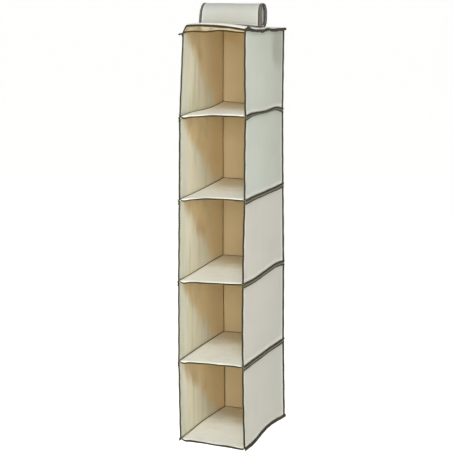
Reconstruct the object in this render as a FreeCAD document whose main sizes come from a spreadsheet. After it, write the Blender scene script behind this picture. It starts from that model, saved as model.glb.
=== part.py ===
import FreeCAD, Part
import math
import os
import re

import Sketcher

# A hanging fabric shoe organizer: five open compartments, one below another, under a wide strap
# that closes round a closet rail. Millimetres. The origin is the centre of the strap's loop, +X runs
# along the rail to the right, the compartments open towards -Y, and +Z is up.
# Compartment 1 is the highest, and shelf 1 is its floor.

DIMENSIONS = {
    # the box of the fabric body
    "width": 160,
    "depth": 300,
    "pitch": 196,
    "top_drop": 40,
    "top_rise": 12,
    # cloth, tape and the gap left between pieces that are sewn face to face
    "cloth": 1.2,
    "tape": 0.8,
    "tape_width": 6,
    "play": 0.1,
    "seam_gap": 0.4,
    # shelves: a sleeve of cloth round a stiff board
    "shelf_height": 5,
    "skin": 0.9,
    "board_height": 3,
    "board_margin": 0.5,
    "board_corner": 6,
    # bound seams and trims
    "flange_reach": 4,
    "flange_rise": 3.5,
    "flange_drop": 8.5,
    "hem_drop": 1,
    "shelf_seam": 2.5,
    "trim_height": 4.2,
    "top_binding_height": 4.5,
    "top_binding_reach": 3,
    "fascia_height": 11,
    "fascia_raise": 5,
    # the strap
    "strap_width": 150,
    "strap_cloth": 4,
    "strap_edge": 1.5,
    "loop_radius": 19,
    "crest_angle": 135,
    "flap_radius": 22,
    "heel_radius": 12,
    "seat_lift": 0.2,
    "flap_end": 26,
    # the hook-and-loop closing
    "hook_cloth": 0.8,
    "hook_top": 11,
    "tab_cloth": 2,
    "tab_face": 18,
    "tab_top": 12,
    "tab_turn": 4,
}
TIERS = 5

# expressions used by several pieces, written with the sheet's aliases
WALL_FACE = "(width / 2 - tape - play)"
WALL_INSIDE = "(width / 2 - tape - play - cloth)"
TAPE_INSIDE = "(width / 2 - 2 * tape - 2 * play - cloth)"
WALL_EDGE = "(depth / 2 - tape - play)"
SHELF_SIDE = "(width / 2 - 2 * tape - 4 * play - cloth)"
SHELF_REAR = "(depth / 2 - tape - 4 * play - cloth)"
SHELF_FRONT = "(depth / 2 - tape - 3 * play)"
CROWN_RADIUS = "(((depth / 2) ^ 2 + top_rise ^ 2) / (2 * top_rise))"
RIDGE = "(top_rise - top_drop)"

doc = FreeCAD.newDocument("shoe_organizer")
sheet = doc.addObject("Spreadsheet::Sheet", "dimensions")
for row, (alias, value) in enumerate(DIMENSIONS.items(), start=1):
    sheet.set(f"A{row}", alias)
    sheet.set(f"B{row}", str(value))
    sheet.setAlias(f"B{row}", alias)
doc.recompute()

ALIASES = re.compile(r"\b(" + "|".join(DIMENSIONS) + r")\b")
subparts = []


def cells(text):
    """An expression with each alias written as a cell of the sheet."""
    return ALIASES.sub(r"dimensions.\1", text)


def amount(text):
    """The present value of an expression."""
    return float(sheet.evalExpression(text))


def bind(item, name, text):
    """Set a property by an expression over the sheet."""
    item.setExpression(name, cells(text))


def sub_part(label, place=("0", "0", "0")):
    """A new body for one sub-part, with its origin at the given place."""
    body = doc.addObject("PartDesign::Body", label)
    body.Label = label
    body.AllowCompound = True
    for axis, text in zip("xyz", place, strict=True):
        bind(body, f"Placement.Base.{axis}", text)
    subparts.append(body)
    return body


def plane_of(body, role):
    return next(item for item in body.Origin.OriginFeatures if item.Role == role)


def arc_edge(start, end, radius):
    """An arc from start to end, with its centre on the left of the way there, or on the right if
    the radius is negative. Both ends and the centre's side make it less than half a circle."""
    half = (end - start) / 2
    left = FreeCAD.Vector(-half.y, half.x, 0).normalize()
    centre = start + half + left * math.copysign(math.sqrt(radius**2 - half.Length**2), radius)
    first, last = (start, end) if radius > 0 else (end, start)
    angles = [math.atan2(point.y - centre.y, point.x - centre.x) for point in (first, last)]
    circle = Part.Circle(centre, FreeCAD.Vector(0, 0, 1), abs(radius))
    return Part.ArcOfCircle(circle, *angles)


def outline(body, role, corners, arcs=None, offset="0"):
    """A closed, fully dimensioned sketch. Corners run anticlockwise. arcs holds the radius of each
    side that is round, by the number of the corner that it leaves."""
    arcs = arcs or {}
    sketch = body.newObject("Sketcher::SketchObject", f"{body.Name}_outline")
    sketch.AttachmentSupport = [(plane_of(body, role), "")]
    sketch.MapMode = "FlatFace"
    bind(sketch, "AttachmentOffset.Base.z", offset)
    points = [FreeCAD.Vector(amount(across), amount(up), 0) for across, up in corners]
    ends = []
    for side, start in enumerate(points):
        end = points[(side + 1) % len(points)]
        radius = amount(arcs[side]) if side in arcs else 0
        edge = arc_edge(start, end, radius) if radius else Part.LineSegment(start, end)
        sketch.addGeometry(edge, False)
        ends.append((2, 1) if radius < 0 else (1, 2))
    for side in range(len(points)):
        following = (side + 1) % len(points)
        joined = Sketcher.Constraint(
            "Coincident", side, ends[side][1], following, ends[following][0]
        )
        sketch.addConstraint(joined)
    for side, texts in enumerate(corners):
        for kind, text in zip(("DistanceX", "DistanceY"), texts, strict=True):
            size = Sketcher.Constraint(kind, -1, 1, side, ends[side][0], amount(text))
            number = sketch.addConstraint(size)
            bind(sketch, f"Constraints[{number}]", text)
    for side, text in arcs.items():
        number = sketch.addConstraint(Sketcher.Constraint("Radius", side, abs(amount(text))))
        bind(sketch, f"Constraints[{number}]", f"abs({text})")
    return sketch


def box_corners(left, right, bottom, top):
    return [(left, bottom), (right, bottom), (right, top), (left, top)]


def pad(body, sketch, length, symmetric=False, reverse=False):
    feature = body.newObject("PartDesign::Pad", f"{body.Name}_pad")
    feature.Profile = sketch
    feature.SideType = "Symmetric" if symmetric else "One side"
    feature.Reversed = reverse
    bind(feature, "Length", length)
    doc.recompute()
    return feature


def pocket(body, sketch, length, symmetric=False, reverse=False):
    """Cut the sketch out of the body, and make sure that it took something away."""
    before = body.Shape.Volume
    feature = body.newObject("PartDesign::Pocket", f"{body.Name}_pocket")
    feature.Profile = sketch
    feature.SideType = "Symmetric" if symmetric else "One side"
    feature.Reversed = reverse
    bind(feature, "Length", length)
    doc.recompute()
    if not body.Shape.Volume < before - 1:
        raise ValueError(f"the pocket in {body.Label} cuts nothing")
    return feature


def mirror_across(body, feature):
    """Repeat a feature on the other side of the middle plane x = 0."""
    copy = body.newObject("PartDesign::Mirrored", f"{body.Name}_mirrored")
    copy.Originals = [feature]
    copy.MirrorPlane = (plane_of(body, "YZ_Plane"), [""])
    body.Tip = copy
    doc.recompute()
    return copy


def round_corners(body, feature, radius):
    """Fillet the edges that run along Z."""
    upright = [
        f"Edge{number}"
        for number, edge in enumerate(feature.Shape.Edges, start=1)
        if abs(edge.tangentAt(edge.FirstParameter).z) > 0.99
    ]
    fillet = body.newObject("PartDesign::Fillet", f"{body.Name}_corners")
    fillet.Base = (feature, upright)
    bind(fillet, "Radius", radius)
    doc.recompute()


def shelf_level(tier):
    """The height of a shelf's underside. Level 0 is the top's corners."""
    return f"(-top_drop - {tier} * pitch)"


def crown_height(along, below="0"):
    """The height of the crowned top at a distance along Y from its ridge, at some depth below the
    outer face."""
    radius = f"({CROWN_RADIUS} - ({below}))"
    return f"({RIDGE} - ({below}) - {radius} + sqrt({radius} ^ 2 - ({along}) ^ 2))"


def crown_band(body, half_run, above, below):
    """The outline of a strip that follows the crowned top, between two depths below its face."""
    corners = [
        (f"-{half_run}", crown_height(half_run, below)),
        (half_run, crown_height(half_run, below)),
        (half_run, crown_height(half_run, above)),
        (f"-{half_run}", crown_height(half_run, above)),
    ]
    arcs = {0: f"-({CROWN_RADIUS} - ({below}))", 2: f"{CROWN_RADIUS} - ({above})"}
    return outline(body, "YZ_Plane", corners, arcs)


# ---- fabric walls of one compartment ----


def wall_limits(tier):
    """The bottom and top of a compartment's fabric walls, each half a seam gap from the middle of
    the shelf's edge. The first compartment's walls end just under the crowned top."""
    bottom = f"{shelf_level(tier)} + shelf_seam + seam_gap / 2"
    top = f"{shelf_level(tier - 1)} + shelf_seam - seam_gap / 2"
    if tier == 1:
        top = crown_height(WALL_EDGE, "cloth")
    return bottom, top


def side_wall(side, tier):
    """A side panel of cloth. The first one's upper edge follows the crowned top."""
    start = f"-{WALL_FACE}" if side == "left" else WALL_INSIDE
    body = sub_part(f"{side}_wall_{tier}", (start, "0", "0"))
    bottom, top = wall_limits(tier)
    arcs = {2: f"{CROWN_RADIUS} - cloth"} if tier == 1 else {}
    corners = box_corners(f"-{WALL_EDGE}", WALL_EDGE, bottom, top)
    pad(body, outline(body, "YZ_Plane", corners, arcs), "cloth")


def back_wall(tier):
    body = sub_part(f"back_wall_{tier}", ("0", f"{WALL_EDGE} - cloth", "0"))
    bottom, top = wall_limits(tier)
    half = f"({TAPE_INSIDE} - play)"
    corners = box_corners(f"-{half}", half, bottom, top)
    sketch = outline(body, "XZ_Plane", corners)
    pad(body, sketch, "cloth", reverse=True)


def edge_tapes(end, tier):
    """The two upright tapes folded round the side walls' front or rear edges."""
    body = sub_part(f"{end}_edge_tapes_{tier}")
    away = "-" if end == "front" else ""
    outer, inner = "(width / 2)", TAPE_INSIDE
    fold, lip = "(depth / 2)", "(depth / 2 - tape_width)"
    corners = [
        (outer, f"{away}{lip}"),
        (outer, f"{away}{fold}"),
        (inner, f"{away}{fold}"),
        (inner, f"{away}{lip}"),
        (f"({inner} + tape)", f"{away}{lip}"),
        (f"({inner} + tape)", f"{away}({fold} - tape)"),
        (f"({outer} - tape)", f"{away}({fold} - tape)"),
        (f"({outer} - tape)", f"{away}{lip}"),
    ]
    if end == "front":
        corners.reverse()
    bottom, top = wall_limits(tier)
    sketch = outline(body, "XY_Plane", corners, offset=bottom)
    mirror_across(body, pad(body, sketch, f"({top}) - ({bottom})"))


# ---- shelves ----


def shelf(tier):
    """A shelf's cloth sleeve, open at the back for its board, the board, the bound seam round its
    sides and back, and the trim along its front edge. The seam hangs a little below the shelf. Under
    the last shelf it is only a narrow hem."""
    level = shelf_level(tier)
    length = f"({SHELF_FRONT} + {SHELF_REAR})"

    cover = sub_part(f"shelf_cover_{tier}", ("0", SHELF_REAR, level))
    corners = box_corners(f"-{SHELF_SIDE}", SHELF_SIDE, f"-{length}", "0")
    pad(cover, outline(cover, "XY_Plane", corners), "shelf_height")
    slot = box_corners(
        f"-({SHELF_SIDE} - skin)", f"{SHELF_SIDE} - skin", "skin", "shelf_height - skin"
    )
    pocket(cover, outline(cover, "XZ_Plane", slot), f"{length} - skin", reverse=True)

    lift = f"{level} + (shelf_height - board_height) / 2"
    board = sub_part(f"shelf_board_{tier}", ("0", SHELF_REAR, lift))
    half = f"({SHELF_SIDE} - skin - board_margin)"
    corners = box_corners(f"-{half}", half, f"-({length} - skin - board_margin)", "-board_margin")
    plate = pad(board, outline(board, "XY_Plane", corners), "board_height")
    round_corners(board, plate, "board_corner")

    drop = "flange_drop" if tier < TIERS else "hem_drop"
    seam = sub_part(f"seam_binding_{tier}", ("0", "0", f"{level} - {drop}"))
    inside, outside = "(width / 2 + play)", "(width / 2 + flange_reach)"
    rear_in, rear_out = "(depth / 2 + play)", "(depth / 2 + flange_reach)"
    front = "-(depth / 2)"
    corners = [
        (f"-{outside}", front),
        (f"-{inside}", front),
        (f"-{inside}", rear_in),
        (inside, rear_in),
        (inside, front),
        (outside, front),
        (outside, rear_out),
        (f"-{outside}", rear_out),
    ]
    pad(seam, outline(seam, "XY_Plane", corners), f"flange_rise + {drop}")

    trim = sub_part(f"shelf_trim_{tier}", ("0", "-depth / 2 + tape", level))
    corners = box_corners(f"-{SHELF_SIDE}", SHELF_SIDE, "0", "trim_height")
    pad(trim, outline(trim, "XZ_Plane", corners), "tape")


# ---- top ----


def top():
    """The crowned top: a cloth sleeve open at the back, its bent board, the binding round its
    edges and the short panel across its front edge, which stands up a little above it."""
    cover = sub_part("top_cover")
    pad(cover, crown_band(cover, SHELF_REAR, "0", "shelf_height"), f"2 * {SHELF_SIDE}", True)
    length = f"({SHELF_REAR} - skin)"
    slot = [
        (f"-{length}", crown_height(length, "shelf_height - skin")),
        (f"{SHELF_REAR} + skin", crown_height(f"({SHELF_REAR} + skin)", "shelf_height - skin")),
        (f"{SHELF_REAR} + skin", crown_height(f"({SHELF_REAR} + skin)", "skin")),
        (f"-{length}", crown_height(length, "skin")),
    ]
    rounds = {0: f"-({CROWN_RADIUS} - shelf_height + skin)", 2: f"{CROWN_RADIUS} - skin"}
    opening = outline(cover, "YZ_Plane", slot, rounds)
    pocket(cover, opening, f"2 * ({SHELF_SIDE} - skin)", symmetric=True)

    board = sub_part("top_board")
    upper = "((shelf_height - board_height) / 2)"
    run = f"({SHELF_REAR} - skin - board_margin)"
    band = crown_band(board, run, upper, f"{upper} + board_height")
    pad(board, band, f"2 * ({SHELF_SIDE} - skin - board_margin)", True)

    binding = sub_part("top_binding")
    run = "(depth / 2 + top_binding_reach)"
    band = crown_band(binding, run, "0", "top_binding_height")
    pad(binding, band, "2 * (width / 2 + top_binding_reach)", True)
    inside = box_corners(
        "-(width / 2 + play)", "width / 2 + play", "-(depth / 2 + play)", "depth / 2 + play"
    )
    hole = outline(binding, "XY_Plane", inside)
    pocket(binding, hole, "4 * top_drop", symmetric=True)

    fascia = sub_part("top_fascia", ("0", "-depth / 2 + tape + cloth / 2", "0"))
    upper = f"({crown_height('(depth / 2)', 'cloth')} + fascia_raise)"
    half = f"({TAPE_INSIDE} - play)"
    corners = box_corners(f"-{half}", half, f"{upper} - fascia_height", upper)
    pad(fascia, outline(fascia, "XZ_Plane", corners), "cloth")


# ---- strap ----


def strap_profile(body, offset="0"):
    """The strap's fixed part seen along the rail: sewn flat on the ridge, up behind the rail and
    over it to the bend line."""
    outer = "(loop_radius + strap_cloth)"
    turn = "(loop_radius - heel_radius)"
    low = f"({RIDGE} + seat_lift)"
    heel = f"({low} + strap_cloth + heel_radius)"
    corners = [
        ("play", low),
        (turn, low),
        (outer, heel),
        (outer, "0"),
        (f"{outer} * cos(crest_angle)", f"{outer} * sin(crest_angle)"),
        ("loop_radius * cos(crest_angle)", "loop_radius * sin(crest_angle)"),
        ("loop_radius", "0"),
        ("loop_radius", heel),
        (turn, f"{low} + strap_cloth"),
        ("play", f"{low} + strap_cloth"),
    ]
    arcs = {
        1: "heel_radius + strap_cloth",
        3: outer,
        5: "-loop_radius",
        7: "-heel_radius",
    }
    return outline(body, "YZ_Plane", corners, arcs, offset)


def flap_profile(body, offset="0"):
    """The strap's free part: it carries on from the bend line and hangs in front of the rail. Its
    curve is a little wider than the loop's, and touches the loop's outer face at the bend line."""
    outer = "(flap_radius + strap_cloth)"
    shift = "(flap_radius - loop_radius)"
    across, up = f"(-{shift} * cos(crest_angle))", f"(-{shift} * sin(crest_angle))"
    corners = [
        (f"{across} + {outer} * cos(crest_angle)", f"{up} + {outer} * sin(crest_angle)"),
        (f"{across} - {outer}", up),
        (f"{across} - {outer}", "-flap_end"),
        (f"{across} - flap_radius", "-flap_end"),
        (f"{across} - flap_radius", up),
        (f"{across} + flap_radius * cos(crest_angle)", f"{up} + flap_radius * sin(crest_angle)"),
    ]
    arcs = {0: outer, 4: "-flap_radius"}
    return outline(body, "YZ_Plane", corners, arcs, offset)


def end_bindings(label, profile):
    """The dark bindings on the left and right edges of a strap piece."""
    body = sub_part(label)
    mirror_across(body, pad(body, profile(body, "strap_width / 2 + play"), "strap_edge"))


def strap():
    """The strap in two pieces that meet at the bend line, their bound edges, and the closing: a
    tab sewn in front of the ridge with the loop tape, and the hook tape inside the flap."""
    rear = sub_part("strap_rear")
    pad(rear, strap_profile(rear), "strap_width", True)
    front = sub_part("strap_flap")
    pad(front, flap_profile(front), "strap_width", True)
    end_bindings("strap_rear_bindings", strap_profile)
    end_bindings("strap_flap_bindings", flap_profile)

    tab = sub_part("closure_tab")
    low = f"({RIDGE} + seat_lift)"
    face, back = "(-tab_face)", "(-tab_face + tab_cloth)"
    turn = f"({low} + tab_cloth + tab_turn)"
    heel = f"({back} + tab_turn)"
    corners = [
        (heel, low),
        ("-play", low),
        ("-play", f"{low} + tab_cloth"),
        (heel, f"{low} + tab_cloth"),
        (back, turn),
        (back, "-tab_top"),
        (face, "-tab_top"),
        (face, turn),
    ]
    arcs = {3: "-tab_turn", 7: "tab_turn + tab_cloth"}
    pad(tab, outline(tab, "YZ_Plane", corners, arcs), "strap_width", True)

    loop = sub_part("loop_tape")
    outside = "(-tab_face - play)"
    corners = box_corners(f"{outside} - hook_cloth", outside, turn, "-tab_top")
    pad(loop, outline(loop, "YZ_Plane", corners), "strap_width", True)

    hook = sub_part("hook_tape")
    inner_face = "(-(flap_radius - loop_radius) * cos(crest_angle) - flap_radius + play)"
    corners = box_corners(inner_face, f"{inner_face} + hook_cloth", "-flap_end", "-hook_top")
    pad(hook, outline(hook, "YZ_Plane", corners), "strap_width", True)


def check():
    """Stop if any object failed or any sub-part's shape is missing or unsound."""
    doc.recompute()
    for item in doc.Objects:
        if {"Invalid", "Error"} & set(item.State):
            raise ValueError(f"{item.Label} is {item.State}")
    for body in subparts:
        if body.Shape.isNull() or not body.Shape.isValid() or not body.Shape.Solids:
            raise ValueError(f"{body.Label} has no sound shape")


strap()
top()
for tier in range(1, TIERS + 1):
    side_wall("left", tier)
    side_wall("right", tier)
    back_wall(tier)
    edge_tapes("front", tier)
    edge_tapes("rear", tier)
    shelf(tier)
check()

os.makedirs("parts", exist_ok=True)
for body in subparts:
    body.Shape.exportStep(f"parts/{body.Label}.step")
    box = body.Shape.BoundBox
    print(
        f"{body.Label:24s} {len(body.Shape.Solids)} solid(s)"
        f"  x {box.XMin:8.2f} {box.XMax:8.2f}  y {box.YMin:8.2f} {box.YMax:8.2f}"
        f"  z {box.ZMin:9.2f} {box.ZMax:8.2f}"
    )
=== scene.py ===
"""The looks of a hanging fabric shoe organizer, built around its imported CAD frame.

Every soft piece is first laid out in the CAD model's straight shape. settle() then moves it to where
the hanging weight leaves it, so that pieces sewn together stay together. Metres; the compartments
open towards -Y, and compartment 1 is the highest.
"""
import math

import bmesh
import bpy
import numpy as np
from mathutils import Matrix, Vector


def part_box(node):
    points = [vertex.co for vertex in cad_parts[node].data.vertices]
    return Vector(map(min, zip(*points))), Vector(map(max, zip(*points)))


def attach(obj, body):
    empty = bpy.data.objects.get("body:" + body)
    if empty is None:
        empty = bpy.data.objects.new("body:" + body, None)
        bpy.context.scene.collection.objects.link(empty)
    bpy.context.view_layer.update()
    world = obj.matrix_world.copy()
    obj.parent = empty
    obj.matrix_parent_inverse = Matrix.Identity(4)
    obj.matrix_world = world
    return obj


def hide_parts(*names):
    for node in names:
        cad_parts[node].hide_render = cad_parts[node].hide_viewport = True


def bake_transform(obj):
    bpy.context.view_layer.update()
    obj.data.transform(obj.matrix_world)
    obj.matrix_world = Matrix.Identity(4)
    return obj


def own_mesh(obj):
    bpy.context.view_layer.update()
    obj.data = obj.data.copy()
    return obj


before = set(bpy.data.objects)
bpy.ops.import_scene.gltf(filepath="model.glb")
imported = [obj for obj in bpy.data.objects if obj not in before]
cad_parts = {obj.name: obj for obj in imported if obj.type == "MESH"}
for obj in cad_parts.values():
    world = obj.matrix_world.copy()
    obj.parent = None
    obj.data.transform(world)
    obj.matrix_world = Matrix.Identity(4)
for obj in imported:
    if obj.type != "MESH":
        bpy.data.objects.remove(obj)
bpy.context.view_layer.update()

MM = 0.001
TIERS = 5


def low(node):
    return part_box(node)[0]


def high(node):
    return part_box(node)[1]


# ---- sizes that come from the frame ----

HALF_WIDTH = high("front_edge_tapes_1").x
HALF_DEPTH = high("rear_edge_tapes_1").y
WALL_FACE = high("right_wall_1").x
CLOTH = WALL_FACE - low("right_wall_1").x
WALL_MIDDLE = WALL_FACE - CLOTH / 2
TAPE_HALF = HALF_WIDTH - WALL_MIDDLE
TAPE_DEPTH = HALF_DEPTH - low("rear_edge_tapes_1").y
SLEEVE_SIDE = high("shelf_cover_1").x
SLEEVE_REAR = high("shelf_cover_1").y
SLEEVE_FRONT = low("shelf_cover_1").y
SLEEVE_HEIGHT = high("shelf_cover_1").z - low("shelf_cover_1").z
CARD_SIDE = high("shelf_board_1").x
CARD_HEIGHT = high("shelf_board_1").z - low("shelf_board_1").z
PITCH = low("shelf_cover_1").z - low("shelf_cover_2").z
LEVELS = [low("shelf_cover_1").z + PITCH]
LEVELS += [low(f"shelf_cover_{tier}").z for tier in range(1, TIERS + 1)]
RIDGE = high("top_cover").z
RISE = RIDGE - LEVELS[0]
CROWN_RADIUS = (HALF_DEPTH**2 + RISE**2) / (2 * RISE)
STRAP_SIDE = high("strap_rear").x
BOUND_SIDE = high("strap_rear_bindings").x
STRAP_FOOT = low("strap_rear").z
# The radii of the middle of the strap: round the rail, where the flap turns down, and at its heel.
LOOP_MIDDLE = high("strap_rear").z - 2 * MM
FLAP_MIDDLE = 24 * MM
HEEL_MIDDLE = 14 * MM

# ---- how it hangs: sags and leans, in mm ----

# Each level's front left, front right, back left and back right corner, above its true height.
SAG = (
    None, (-7, 0.2, 8, -4.5), (-6, 1.2, 11, 6.5), (-4.6, -1.2, 9, 6.2), (-4, -4, 7, 2.7),
    (1.5, -8, 6, -1.2),
)
# The same corners' lean to the right.
LEAN = (
    (6, 0, -1.5, 0.5), (-3.5, 1.5, -2, -1.5), (-5.5, 0, -1.5, 0.5), (-8, -4, -2, 3.5), (-8.5, -4, 0.5, 4),
    (-5, 1, 3, 7.5),
)
# The height of one, two and three half waves along each level's right side, and its left side.
WAVES = (None, (6, -1, 2.5), (-0.7, 0.5, 0), (1.7, -3, 0.5), (1, -0.5, 0), (7, -3, -2))
LEFT_WAVES = (None, (-2.6, 2.5, 0.3), (-1.6, 0, 0), (0.4, -0.8, 0), (1.2, 0, 0), (3, 0, -0.5))
# How far the middle of each shelf's front edge bows up.
BOW = (None, 4, 5, 0.5, 2, 0.5)
# How much of the gap between a seam's two beads closes up halfway along.
PINCH = (None, 0.75, 0.2, 0.2, 0.15, 0)
BOW_REACH = 60 * MM
# How far each panel draws in halfway up, towards its front.
WAIST = 1.2 * MM
# The strap's foot, where it pulls the top up, and how far its right end sags.
FOOT_LINE = 3.5 * MM
PULL_REACH = 32 * MM
STRAP_DROP = 5 * MM
# The front and back edges of the top: the height of the crest, how far the edge falls from it, and
# where the front edge's crest and left shoulder are.
FRONT_CREST = -23 * MM
FRONT_FALL = 8.5 * MM
CREST_PLACE = -20 * MM
SHOULDER_PLACE = -62 * MM
SHOULDER_RUN = 11 * MM
SHOULDER_FALL = 21 * MM
BACK_CREST = 3.5 * MM
BACK_CORNER = -41.5 * MM


# ---- shapes ----


def bump(at, middle, reach):
    """A smooth bump of height 1 round a middle."""
    return np.exp(-(((at - middle) / reach) ** 2))


def smooth_curve(*stations):
    """A smooth function through given (place, height) stations in mm."""
    places, heights = np.array(stations, float).T * MM
    slopes = np.gradient(heights, places)

    def height(at):
        at = np.clip(at, places[0], places[-1])
        left = np.clip(np.searchsorted(places, at) - 1, 0, len(places) - 2)
        step = places[left + 1] - places[left]
        share = (at - places[left]) / step
        rest = 1 - share
        return (
            heights[left] * (1 + 2 * share) * rest**2
            + slopes[left] * step * share * rest**2
            + heights[left + 1] * share**2 * (1 + 2 * rest)
            - slopes[left + 1] * step * share**2 * rest
        )

    return height


def plan_share(x, y):
    """How far right and how far back places lie in the plan, each from 0 to 1."""
    return np.clip((x / HALF_WIDTH + 1) / 2, 0, 1), np.clip((y / HALF_DEPTH + 1) / 2, 0, 1)


def corners_blend(four, x, y):
    """Front left, front right, back left and back right values in mm, blended over the plan."""
    right, back = plan_share(x, y)
    front_edge = four[0] * (1 - right) + four[1] * right
    back_edge = four[2] * (1 - right) + four[3] * right
    return (front_edge * (1 - back) + back_edge * back) * MM


def crown(y):
    """The CAD height of the crowned top."""
    return RIDGE - CROWN_RADIUS + np.sqrt(CROWN_RADIUS**2 - np.minimum(np.abs(y), HALF_DEPTH) ** 2)


def top_front(x):
    """The arched front edge of the top. Its left shoulder drops steeply to the corner."""
    shoulder = np.clip((SHOULDER_PLACE - x) / SHOULDER_RUN, 0, 1) ** 2
    return FRONT_CREST - FRONT_FALL * ((x - CREST_PLACE) / 0.1) ** 2 - SHOULDER_FALL * shoulder


# The top's right and left edges, by place along Y.
top_right = smooth_curve(
    (-150, -32.5), (-133, -27.5), (-106, -32.2), (-77, -35.5), (-47, -36.4), (-20, -37.4),
    (18, -35.4), (45, -37.6), (93, -38.4), (150, -39.2),
)
top_left = smooth_curve((-150, -42), (-120, -38), (-60, -36), (0, -35), (60, -38), (150, -42))


def top_back(x):
    return BACK_CORNER + BACK_CREST * (1 - (x / HALF_WIDTH) ** 2)


def strap_sag(x, z=STRAP_FOOT):
    """How far the strap hangs below its true place. Its right end hangs lowest at its foot."""
    return STRAP_DROP * np.clip(x / STRAP_SIDE, 0, 1) ** 1.5 * np.clip(z / STRAP_FOOT, 0, 1)


def stretched_top(x, y):
    """The top's upper face, stretched between its four edges."""
    right, back = plan_share(x, y)
    across = top_left(y) * (1 - right) + top_right(y) * right
    along = top_front(x) * (1 - back) + top_back(x) * back
    shoulder = -HALF_WIDTH + 8 * MM
    ends = [top_front(shoulder), top_front(HALF_WIDTH), top_back(-HALF_WIDTH), top_back(HALF_WIDTH)]
    return across + along - corners_blend([end / MM for end in ends], x, y)


def top_surface(x, y):
    """The top's upper face where it leans, and where the strap's foot pulls it up."""
    x = x + corners_blend(LEAN[0], x, y)
    flat = stretched_top(x, y)
    pull = STRAP_FOOT - strap_sag(x) - stretched_top(x, FOOT_LINE)
    inside = np.clip((HALF_WIDTH - np.abs(x)) / (HALF_WIDTH - STRAP_SIDE + 3 * MM), 0, 1)
    ridge = bump(y, FOOT_LINE, PULL_REACH)
    return flat + pull * ridge * inside**2 * (3 - 2 * inside)


def level_lift(level, x, y):
    """How far a level hangs above its true height at a place in the plan."""
    if level == 0:
        return top_surface(x, y) - crown(y)
    right, back = plan_share(x, y)
    turn = math.pi * back
    pairs = zip(LEFT_WAVES[level], WAVES[level], strict=True)
    wave = sum((a + (b - a) * right) * np.sin((n + 1) * turn) for n, (a, b) in enumerate(pairs)) * MM
    bow = BOW[level] * MM * (1 - np.minimum(np.abs(x) / HALF_WIDTH, 1) ** 2)
    front = np.exp(-(y + HALF_DEPTH) / BOW_REACH)
    return corners_blend(SAG[level], x, y) + wave + bow * front


def settle(points):
    """Moves points of the straight CAD shape to where the hanging weight leaves them."""
    points = np.array(points, float)
    x, y, z = points[..., 0], points[..., 1], points[..., 2]
    lift = level_lift(TIERS, x, y)
    lean = corners_blend(LEAN[TIERS], x, y)
    waist = np.zeros_like(x)
    for tier in range(TIERS, 0, -1):
        upper = LEVELS[tier - 1] if tier > 1 else crown(y)
        share = np.clip((z - LEVELS[tier]) / (upper - LEVELS[tier]), 0, 1)
        lift = lift + share * (level_lift(tier - 1, x, y) - level_lift(tier, x, y))
        lean = lean + share * (corners_blend(LEAN[tier - 1], x, y) - corners_blend(LEAN[tier], x, y))
        waist = waist + WAIST * 4 * share * (1 - share)
    front = np.clip(0.5 - y / HALF_DEPTH / 2, 0, 1)
    points[..., 0] = x + lean - waist * front * np.clip(x / HALF_WIDTH, 0, 1)
    points[..., 2] = z + lift
    return points


# ---- building meshes ----


UP = np.array([0.0, 0, 1])


def spots(*parts):
    """Points from their coordinates, each a number or an array."""
    return np.stack(np.broadcast_arrays(*parts), -1).astype(float)


def run_along(points):
    """How far along a line of points each one lies."""
    return np.cumsum(np.linalg.norm(np.diff(points, axis=0, prepend=points[:1]), axis=1))


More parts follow.
